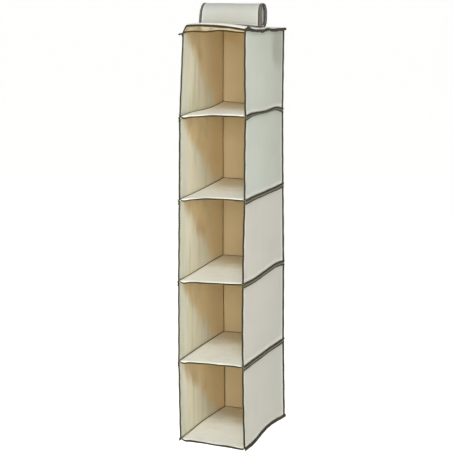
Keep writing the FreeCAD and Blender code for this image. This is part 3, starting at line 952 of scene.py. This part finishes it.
def seam_band(tier):
    """The bound seam round one shelf."""
    lowest = tier == TIERS
    path, out, share = run_round()
    path[:, 2] = LEVELS[tier]
    section = flat_backed(ONE_BEAD if lowest else TWO_BEADS) * MM
    pinch = 1 - PINCH[tier] * np.sin(math.pi * share)
    heights = np.where(section[:, 0] < 0, section[:, 0] * pinch[:, None], section[:, 0])
    run = run_along(path)
    swell = 1 + 0.10 * np.sin(run * 75 + tier) + 0.06 * np.sin(run * 190 + 2 * tier)
    swell -= LEFT_FLAT * np.clip(-out[:, 0], 0, 1)
    reach = section[:, 1] * swell[:, None] + SEAM_GAP
    wobble = 0.3 * MM * np.sin(run * 58 + 3 * tier) + 0.15 * MM * np.sin(run * 151 + tier)
    rows = path[:, None] + spots(0, 0, heights + wobble[:, None])
    rows = settle(rows) + out[:, None] * reach[..., None]
    cut = spots(run_along(section)[None, :], run[:, None])
    sides, rim = np.zeros(len(section), int), np.zeros(len(section))
    if not lowest:
        sides[WEB_SIDES] = 1
        # Painted shade in the creases.
        rim[CREASES] = 0.8
    piece = Piece()
    piece.tube(rows, sides, cut, rim)
    if not lowest:
        line = settle(path + spots(0, 0, WEB_LINE * pinch + wobble)) + out * (WEB_REACH + SEAM_GAP)
        piece.stitches(line, out, 2, pitch=7 * MM, length=4.5 * MM, radius=0.45 * MM)
    band = piece.make(f"seam_band_{tier}", (BINDING, WEB, THREAD), f"tier_{tier}")
    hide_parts(f"seam_binding_{tier}")
    return band


# ---- shelves ----

SHELF_CELL = 6 * MM
CARD_CORNER = 5 * MM
CARD_EASE = 0.3 * MM
CARD_GAP = 0.04 * MM
CLOTH_UNDER = low("shelf_board_1").z - low("shelf_cover_1").z
PIPING_RADIUS = 0.9 * MM
HEM_HEIGHT = 3.4 * MM
LAST_HEM_HEIGHT = 4.6 * MM
HEM_HOOK = 4.2 * MM
HEM_REACH = 1.2 * MM
# The face of a trim: share of its height, and share of its reach.
HEM_FACE = ((0, 0.2), (0.08, 0.75), (0.3, 0.97), (0.6, 1), (0.85, 0.8), (1, 0.2))


def flat_level(tier):
    """The CAD height of the lower face of one shelf's sleeve, or of the top's for tier 0."""
    if tier:
        return lambda y: LEVELS[tier] + 0 * y
    return lambda y: crown(y) - SLEEVE_HEIGHT


def sleeve(name, tier, looks, body, depth):
    """A cloth sleeve round a stiff card, folded at its front. depth holds the sleeve's front and rear
    and the card's front and rear."""
    columns = round(2 * SLEEVE_SIDE / SHELF_CELL)
    count = round((depth[1] - depth[0]) / SHELF_CELL)
    outer = (SLEEVE_SIDE, *depth[:2], SLEEVE_HEIGHT, 0)
    inner = (CARD_SIDE, *depth[2:], CARD_HEIGHT, CLOTH_UNDER)
    piece = Piece()
    layers = []
    for side, front, rear, height, lift in (outer, inner):
        ys = np.linspace(rear, front + height / 2, count)
        top = np.stack([ys, np.full(count, height)], 1)
        fold = arc((front + height / 2, height / 2), height / 2, 90, 270, 7)
        section = np.concatenate([top[:-1], fold, (top * [1, 0])[::-1][1:]])
        x, y = np.linspace(-side, side, columns)[:, None], section[:, 0]
        z = flat_level(tier)(y) + lift + section[:, 1]
        cut = spots(x, run_along(section))
        # Painted highlight along the sleeve's sides and front fold.
        edge = np.minimum(side - np.abs(x), np.abs(y - front))
        numbers = piece.add(settle(spots(x, y, z)), cut, 0.7 * np.exp(-edge / (5 * MM)))
        piece.grid(numbers)
        half = len(section) // 2
        first = np.arange(half)
        last = len(section) - 1 - first
        for end in (numbers[0], numbers[-1]):
            piece.quads(end[first[:-1]], end[first[1:]], end[last[1:]], end[last[:-1]])
            piece.faces.append(end[half - 1 : half + 2].tolist())
            piece.finishes.append(0)
        layers.append(numbers)
    out, back = layers
    for edge in (0, -1):
        piece.quads(out[:-1, edge], out[1:, edge], back[1:, edge], back[:-1, edge])
        piece.quads(out[edge, :1], out[edge, -1:], back[edge, -1:], back[edge, :1])
    return piece.make(name, looks, body)


def border(grid):
    """The points round the edge of a grid, in order."""
    return np.concatenate([grid[0, :-1], grid[:-1, -1], grid[-1, :0:-1], grid[:0:-1, 0]])


def card(name, tier, node, body):
    """The stiff board in a sleeve, warped with it, with its corners cut off round."""
    side = high(node).x - CARD_GAP
    front, rear = low(node).y + CARD_GAP, high(node).y - CARD_GAP
    x = np.linspace(-side, side, round(2 * side / SHELF_CELL))[:, None]
    share = np.linspace(0, 1, round((rear - front) / SHELF_CELL))[None, :]
    inset = np.maximum(np.abs(x) - (side - CARD_CORNER), 0)
    rounding = CARD_CORNER - np.sqrt(np.maximum(CARD_CORNER**2 - inset**2, 0))
    y = (front + rounding) * (1 - share) + (rear - rounding) * share
    cut = spots(x, y)
    layers = []
    for height in (CARD_HEIGHT, CARD_HEIGHT - CARD_EASE, CARD_EASE, 0):
        # The upper and lower faces are a little smaller, so that the cut edges are eased.
        shrink = 1 - (CARD_EASE / side if height in (0, CARD_HEIGHT) else 0)
        z = flat_level(tier)(y) + CLOTH_UNDER + CARD_GAP + height * (1 - 2 * CARD_GAP / CARD_HEIGHT)
        layers.append(settle(spots(x * shrink, y * shrink, z)))
    piece = Piece()
    upper, lower = piece.add(layers[0], cut), piece.add(layers[-1], cut)
    piece.grid(upper)
    piece.grid(lower)
    loops = [border(upper), *[piece.add(border(layer), border(cut)) for layer in layers[1:3]]]
    loops.append(border(lower))
    for a, b in zip(loops[:-1], loops[1:], strict=True):
        piece.quads(a, np.roll(a, -1), np.roll(b, -1), b)
    board = piece.make(name, (CARD,), body)
    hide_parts(node)
    return board


def inner_piping(tier):
    """The corded edge of a shelf, where it meets the side and back panels inside."""
    path, out, _ = run_round()
    path -= out * (HALF_WIDTH - SLEEVE_SIDE + PIPING_RADIUS / 3)
    inside = path[:, 1] > SLEEVE_FRONT + PIPING_RADIUS
    path, out = path[inside], out[inside]
    path[:, 2] = LEVELS[tier] + SLEEVE_HEIGHT + PIPING_RADIUS / 3
    piece = Piece()
    piece.tube(settle(sweep(path, out, UP, ring(8) * PIPING_RADIUS)))
    piping = piece.make(f"shelf_piping_{tier}", (PIPING,), f"tier_{tier}")
    return piping


def shelf_hem(tier):
    """The dark trim along a shelf's front edge. Its ends turn up to the corners, the left one more."""
    node = f"shelf_trim_{tier}"
    side = high(node).x
    x = np.linspace(-side, side, 61)
    left = np.clip(1 - (x + side) / (7 * MM), 0, 1) ** 1.5
    right = np.clip(1 - (side - x) / (5 * MM), 0, 1) ** 2
    height = HEM_HEIGHT if tier < TIERS else LAST_HEM_HEIGHT
    tall = height * (1 + 0.10 * np.sin(x * 70 + tier) - 0.25 * left)
    dip = 1.6 * MM * bump(x + side, 12 * MM, 8 * MM)
    lift = HEM_HOOK * left - dip + 1 * MM * right + 0.25 * MM * np.sin(x * 110 + tier * 2)
    section = flat_backed(HEM_FACE)
    z = LEVELS[tier] - 0.3 * MM + tall[:, None] * section[:, 0] + lift[:, None]
    rows = settle(spots(x[:, None], high(node).y, z))
    rows[..., 1] -= section[:, 1] * HEM_REACH
    piece = Piece()
    # Painted shade along the trim's upper and lower edges.
    piece.tube(rows, 0, spots(z, x[:, None]), 0.6 * (section[:, 1] < 0.5))
    hem = piece.make(f"shelf_hem_{tier}", (BINDING,), f"tier_{tier}")
    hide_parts(node)
    return hem


def shelves():
    depth = [SLEEVE_FRONT, SLEEVE_REAR, low("shelf_board_1").y, high("shelf_board_1").y]
    for tier in range(1, TIERS + 1):
        body = f"tier_{tier}"
        cover = sleeve(f"shelf_sleeve_{tier}", tier, (SHELF,), body, depth)
        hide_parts(f"shelf_cover_{tier}")
        board = card(f"shelf_card_{tier}", tier, f"shelf_board_{tier}", body)
        around = [seam_band(tier), shelf_hem(tier), inner_piping(tier)]


# ---- top ----

BAND_HEIGHT = 7 * MM
# The face of the top's binding: share of its height, and reach in mm.
BAND_FACE = (
    (1.02, 0.2), (0.98, 1.2), (0.9, 1.9), (0.75, 2.45), (0.5, 2.6), (0.25, 2.4), (0.1, 1.8),
    (0.02, 1.1), (-0.02, 0.2),
)
FASCIA_BAND = 5.2 * MM
FOLD_END = 25 * MM
# The lower fold of the top's binding on the sides, below the top's edge, and the fascia's hem.
lower_fold = smooth_curve(
    (-150, -4), (-133, -9.2), (-120, -8.2), (-106, -5.8), (-77, -4), (-30, -4), (16, -4.5), (30, -4),
)
fascia_hem = smooth_curve((-77, -42), (-47, -39), (-20, -40), (20, -36.5), (58, -39.5), (77, -41))


def top_edge(x, y):
    """Settled points of the top's upper edge, for places in the plan."""
    return settle(spots(x, y, crown(y)))


def top_band():
    """The binding round the top, with its loose lower fold on each side and its two knotted ends."""
    path, out, _ = run_round(closed=True)
    edge = top_edge(path[:, 0], path[:, 1])
    section = flat_backed(BAND_FACE) * [1, MM]
    run = run_along(path)
    front = np.clip(-out[:, 1], 0, 1)
    tall = BAND_HEIGHT * (1 - front) + FASCIA_BAND * front
    tall = tall * (1 + 0.09 * np.sin(run * 63) + 0.06 * np.sin(run * 171 + 1))
    z = tall[:, None] * (section[:, 0] - 1)
    swell = 1 + 0.10 * np.sin(run * 82 + 2)
    rows = edge[:, None] + out[:, None] * (section[:, 1] * swell[:, None])[..., None]
    rows[..., 2] += z
    piece = Piece()
    # Painted shade along the binding's upper and lower edges.
    piece.tube(rows, 0, spots(z, run[:, None]), 0.8 * (section[:, 1] < 0.5 * MM), closed=True)
    for side in (-1, 1):
        y = np.linspace(-HALF_DEPTH + 1 * MM, FOLD_END, 70)
        fold = top_edge(side * HALF_WIDTH, y)
        fold[:, 0] += side * 0.6 * MM
        fold[:, 2] += lower_fold(y) * (1 if side > 0 else 0.7)
        fade = np.clip((FOLD_END - y) / (20 * MM), 0.15, 1)
        section = ring(8) * fade[:, None, None] * [1.3 * MM, 1.4 * MM]
        piece.tube(sweep(fold, [side, 0.0, 0], UP, section))
    front_left = top_edge(-HALF_WIDTH + 1 * MM, -HALF_DEPTH)
    back_right = top_edge(HALF_WIDTH, HALF_DEPTH - 3 * MM)
    knot(piece, front_left + [2 * MM, -1 * MM, 0.5 * MM], (-12 * MM, -1.5 * MM, -1 * MM), 2.1 * MM)
    knot(piece, back_right + [0.3 * MM, 0, -2 * MM], (0.8 * MM, 8 * MM, -1 * MM), 3.2 * MM)
    band = piece.make("top_band", (BINDING,), "top")
    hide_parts("top_binding")
    return band


def knot(piece, start, run, radius):
    """The rolled end of a binding, sticking out from a corner of the top."""
    share = np.linspace(0, 1, 13)[:, None]
    path = start + np.array(run) * share
    path[:, 2] += 0.6 * MM * np.sin(share[:, 0] * 5)
    ahead = unit(np.gradient(path, axis=0))
    side = unit(np.cross(ahead, UP))
    up = np.cross(side, ahead)
    ease = np.sqrt(np.clip(1 - (np.clip(share - 0.8, 0, 1) / 0.2) ** 2, 0.05, 1))
    swell = radius * ease * (0.8 + 0.25 * share)
    piece.tube(sweep(path, side, up, ring(12) * swell[:, None]))


def fascia():
    """The short panel that hangs from the top's front edge, with its bound hem."""
    node = "top_fascia"
    side = high(node).x
    x = np.linspace(-side, side, 78)[:, None]
    share = np.linspace(0, 1, 9)[None, :]
    edge = top_edge(x[:, 0], -HALF_DEPTH)
    across, top = edge[:, :1], edge[:, 2:] - 1 * MM
    bottom = np.minimum(fascia_hem(across), top - 3 * MM)
    z = top + (bottom - top) * share
    fold = bump(x, -64 * MM, 7 * MM) * 1.6 * MM
    wave = 0.45 * MM * np.sin(x * 150 + 1) + 0.3 * MM * np.sin(x * 330 - 60 * z)
    middle = (low(node).y + high(node).y) / 2
    y = middle - share * (wave + fold * np.sin(share * 3))
    sheet = spots(across, y, z)
    normal = grid_normals(sheet)
    normal *= -np.sign(normal[..., 1:2])
    half = normal * CLOTH / 2
    piece = Piece()
    # Painted shade towards the hem.
    rim = 0.6 * np.exp(-(1 - share) * 6)
    piece.shell(sheet + half, sheet - half, (0, 1, 1), spots(x, z), rim)
    piece.tube(sweep(sheet[:, -1], [0.0, -1, 0], UP, ring(12) * [1.4 * MM, 1.8 * MM]), 2)
    panel = piece.make("fascia_panel", (FASCIA, INSIDE, HEM), "top")
    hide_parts(node)


def top():
    front, rear = low("top_cover").y, high("top_cover").y
    depth = [front, rear, low("top_board").y, high("top_board").y]
    cover = sleeve("top_sleeve", 0, (TOP,), "top", depth)
    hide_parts("top_cover")
    board = card("top_card", 0, "top_board", "top")
    top_band()
    fascia()


# ---- strap ----

STRAP_THICK = 3.4 * MM
STRAP_FLARE = 4 * MM
# How far the tapes reach over the strap's left and right ends, and over the tab's.
STRAP_TAPE_FACE = {-1: 5.2 * MM, 1: 6.2 * MM}
TAB_TAPE_FACE = 5 * MM
STRAP_TAPE_THICK = 0.55 * MM
# Half the thickness of the tab, and the radius of its bend.
TAB_HALF = 1 * MM
TAB_BEND = 5 * MM
# The tufts of the hook-and-loop tapes.
TUFT_COLUMNS = 241
TUFT_STEP = 0.7 * MM
TUFT_WAVE = 1900
TUFT_HEIGHT = 0.25 * MM


def evenly(points, step):
    """Points at even steps along a line of points, and how far along it each one is."""
    run = run_along(points)
    at = np.linspace(0, run[-1], round(run[-1] / step))
    return np.stack([np.interp(at, run, points[:, n]) for n in range(points.shape[1])], 1), at


def strap_line():
    """The middle of the strap's thickness, as (y, z): from its foot on the top, round behind the
    rail, over it and down in front."""
    heel = (HEEL_MIDDLE / 2, STRAP_FOOT + 2 * MM + HEEL_MIDDLE)
    heel_arc = arc(heel, HEEL_MIDDLE, -90, 0, 13)
    crest = arc((0, 0), LOOP_MIDDLE, 0, 135, 28)
    turn = crest[-1] + FLAP_MIDDLE * math.sqrt(0.5) * np.array([1, -1])
    drop = arc(turn, FLAP_MIDDLE, 135, 180, 10)
    foot = (0.1 * MM, heel_arc[0, 1])
    end = (drop[-1, 0], low("strap_flap").z)
    return evenly(np.array([foot, *heel_arc, *crest, *drop, end]), 1.5 * MM)


def strap_points(x, line):
    """Points of the strap where it hangs, for places across it and a (y, z) line."""
    x, (y, z) = np.array(x)[..., None], line.T
    z = z - strap_sag(x, np.minimum(z, 0))
    flare = STRAP_FLARE * np.clip(-y / FLAP_MIDDLE, 0, 1)
    flare = flare * np.clip((LOOP_MIDDLE - z) / 2 / LOOP_MIDDLE, 0, 1)
    return spots(x + flare * np.minimum(x / STRAP_SIDE, 0), y, z)


def tape_rows(edge, side, line, out, section):
    """Rows of a folded tape's section along the left or right edge of a strip of webbing."""
    return np.stack([strap_points(side * (edge - inward), line + out * lift) for inward, lift in section], 1)


def line_out(line):
    """Outward directions of a (y, z) line, on its right as it runs."""
    ahead = unit(np.gradient(line, axis=0))
    return np.stack([ahead[:, 1], -ahead[:, 0]], 1)


def strap():
    """The wide strap round the rail, one sheet from its foot to its flap's end, and its bound ends."""
    line, run = strap_line()
    out = line_out(line)
    x = np.linspace(-STRAP_SIDE, STRAP_SIDE, 51)
    soft = 0.25 * MM * np.sin(x[:, None] * 60 + run[None, :] * 45) * np.cos(x[:, None] * 23)
    bend = spots(0 * soft, out[:, 0] * soft, out[:, 1] * soft)
    lift = STRAP_THICK / 2
    outer = strap_points(x, line + out * lift) + bend
    inner = strap_points(x, line - out * lift) + bend
    cut = spots(x[:, None], run[None, :])
    beside = np.minimum(STRAP_SIDE - STRAP_TAPE_FACE[1] - x, x + STRAP_SIDE - STRAP_TAPE_FACE[-1])
    # Painted highlight beside the bound ends.
    rim = np.exp(-np.maximum(beside[:, None], 0) / (2.5 * MM))
    piece = Piece()
    piece.shell(outer, inner, (0, 0, 0), cut, rim)
    for end in (3 * MM, run[-1] - 4 * MM):
        at = np.argmin(np.abs(run - end))
        across = x[beside > 1 * MM]
        row = strap_points(across, (line + out * (lift + STITCH_PROUD))[at : at + 1])[:, 0]
        piece.stitches(row, np.broadcast_to([0, *out[at]], row.shape).copy(), 1)
    band = piece.make("hanging_strap", (STRAP, THREAD))
    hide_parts("strap_rear", "strap_flap")
    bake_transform(band)
    ends = [strap_edge(side, line, out, run) for side in (-1, 1)]


def strap_edge(side, line, out, run):
    """The tape folded round one end of the strap."""
    depth = STRAP_TAPE_FACE[side] + BOUND_SIDE - STRAP_SIDE
    half = STRAP_THICK / 2 + 0.1 * MM + STRAP_TAPE_THICK
    section = folded_tape(depth, half, STRAP_TAPE_THICK)
    line = line.copy()
    line[-1, 1] -= 0.5 * MM
    rows = tape_rows(BOUND_SIDE, side, line, out, section)
    cut = spots(run_along(section)[None, :], run[:, None])
    # Painted shade at the tape's fold and along its lip.
    rim = np.clip(1 - section[:, 0] / (1.8 * MM), 0, 1)
    rim = np.maximum(rim, np.clip((section[:, 0] - depth + 1.3 * MM) / (1.2 * MM), 0, 1))
    piece = Piece()
    piece.tube(rows, 0, cut, rim)
    for face in (1, -1):
        x = side * (BOUND_SIDE - depth + 2 * MM)
        path = strap_points(x, line + out * face * (half + 0.03 * MM))
        piece.stitches(path, spots(0, *(out * face).T), 1, pitch=4 * MM, length=3 * MM)
    name = "left" if side < 0 else "right"
    tape = piece.make(f"strap_edge_{name}", (STRAP_TAPE, THREAD))
    if side > 0:
        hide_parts("strap_rear_bindings", "strap_flap_bindings")
    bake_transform(tape)
    return tape


def fuzzy_strip(name, node, looks, body, face):
    """A strip of hook or loop tape, its face covered in tufts. face is -1 where it looks forwards."""
    lowest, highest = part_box(node)
    x = np.linspace(lowest.x, highest.x, TUFT_COLUMNS)[:, None]
    z = np.linspace(lowest.z, highest.z, round((highest.z - lowest.z) / TUFT_STEP) + 1)[None, :]
    middle = (lowest.y + highest.y) / 2
    tufts = np.abs(np.sin(x * TUFT_WAVE) * np.sin(z * TUFT_WAVE)) * TUFT_HEIGHT
    front = middle + face * ((highest.y - lowest.y) / 2 - 0.3 * MM + tufts)
    rear = middle - face * (highest.y - lowest.y) / 2
    z = z - strap_sag(x, np.minimum(z, 0))
    piece = Piece()
    piece.shell(spots(x, front, z), spots(x, rear, z), (0, 1, 1), spots(x, z))
    strip = piece.make(name, looks, body)
    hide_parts(node)
    return strip


def closure():
    """The tab that the flap fastens to, and the two strips of hook-and-loop tape."""
    lowest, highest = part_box("closure_tab")
    corner = (lowest.y + TAB_HALF + TAB_BEND, lowest.z + TAB_HALF + TAB_BEND)
    bend = arc(corner, TAB_BEND, 270, 180, 10)
    line, run = evenly(np.array([(highest.y, bend[0, 1]), *bend, (bend[-1, 0], highest.z)]), 1 * MM)
    out = -line_out(line)
    x = np.linspace(-STRAP_SIDE + 0.6 * MM, STRAP_SIDE - 0.6 * MM, 51)
    faces = [strap_points(x, line - out * TAB_HALF), strap_points(x, line + out * TAB_HALF)]
    piece = Piece()
    piece.shell(*faces, (0, 0, 0), spots(x[:, None], run[None, :]))
    section = folded_tape(TAB_TAPE_FACE, TAB_HALF + 0.45 * MM, 0.4 * MM)
    for side in (-1, 1):
        piece.tube(tape_rows(STRAP_SIDE, side, line, out, section), 1)
    tab = piece.make("closure_panel", (STRAP, STRAP_TAPE), "top")
    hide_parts("closure_tab")
    loops = fuzzy_strip("loop_strip", "loop_tape", (LOOPS, HOOKS), "top", -1)
    fuzzy_strip("hook_strip", "hook_tape", (HOOKS, LOOPS), "flap", 1)


# ---- the room: floor, light and camera ----

FLOOR_HEIGHT = -1.42
FLOOR_SIZE = 400
FLOOR_GLOW = 0.62
# How bright the light from overhead is, and between which heights it fades to that.
SKY = 0.34
SKY_FADE = (0.12, 0.45)
# The camera: where it stands, how far it turns to the left and tips down, and its lens in mm.
VIEWPOINT = (1.2723, -3.6726, 0.0948)
VIEW_TURN = 19.377
VIEW_DIP = 8.90
LENS = 128.9


def floor():
    mesh = bpy.data.meshes.new("floor")
    half = FLOOR_SIZE / 2
    corners = [(x * half, y * half, FLOOR_HEIGHT) for x, y in ((-1, -1), (1, -1), (1, 1), (-1, 1))]
    mesh.from_pydata(corners, [], [(0, 1, 2, 3)])
    mesh.materials.append(floor_look())
    ground = bpy.data.objects.new("floor", mesh)
    bpy.context.scene.collection.objects.link(ground)


def softbox(name, place, size, power, colour=(1, 1, 1)):
    """A rectangular lamp that faces the middle of the object."""
    light = bpy.data.lights.new(name, "AREA")
    light.shape = "RECTANGLE"
    light.size, light.size_y = size
    light.energy = power
    light.color = colour
    lamp = bpy.data.objects.new(name, light)
    lamp.location = place
    lamp.rotation_euler = (Vector((0, 0, -0.5)) - Vector(place)).to_track_quat("-Z", "Y").to_euler()
    bpy.context.scene.collection.objects.link(lamp)


def lights():
    """Soft light from all round, white at the horizon and dimmer overhead, with large softboxes."""
    world = bpy.data.worlds.new("studio")
    bpy.context.scene.world = world
    world.use_nodes = True
    nodes, links = world.node_tree.nodes, world.node_tree.links
    heading = nodes.new("ShaderNodeTexCoord")
    axes = nodes.new("ShaderNodeSeparateXYZ")
    fade = nodes.new("ShaderNodeMapRange")
    fade.interpolation_type = "SMOOTHSTEP"
    ends = {"From Min": SKY_FADE[0], "From Max": SKY_FADE[1], "To Min": 1, "To Max": SKY}
    for name, value in ends.items():
        fade.inputs[name].default_value = value
    links.new(heading.outputs["Generated"], axes.inputs[0])
    links.new(axes.outputs["Z"], fade.inputs["Value"])
    links.new(fade.outputs[0], nodes["Background"].inputs["Strength"])
    nodes["Background"].inputs["Color"].default_value = (1, 1, 1, 1)
    softbox("front_light", (1.1, -4.2, 0.2), (1.6, 1.8), 80, (1, 0.985, 0.96))
    softbox("high_light", (0.9, -3.4, 2.2), (1.8, 1.4), 75, (1, 0.99, 0.97))
    softbox("key_light", (3.2, -2.4, 0.6), (1.8, 1.8), 14)
    softbox("back_light", (-2.5, 2.6, 1.6), (2.0, 2.0), 40)


def camera():
    lens = bpy.data.cameras.new("camera")
    lens.lens, lens.sensor_width = LENS, 36
    lens.clip_end = 1000
    viewer = bpy.data.objects.new("camera", lens)
    viewer.location = VIEWPOINT
    turn, dip = math.radians(VIEW_TURN), math.radians(VIEW_DIP)
    ahead = Vector((-math.sin(turn) * math.cos(dip), math.cos(turn) * math.cos(dip), -math.sin(dip)))
    viewer.rotation_euler = ahead.to_track_quat("-Z", "Y").to_euler()
    bpy.context.scene.collection.objects.link(viewer)
    bpy.context.scene.camera = viewer


wall_panels()
shelves()
top()
strap()
closure()
floor()
lights()
camera()
bpy.context.scene.view_settings.view_transform = "Standard"
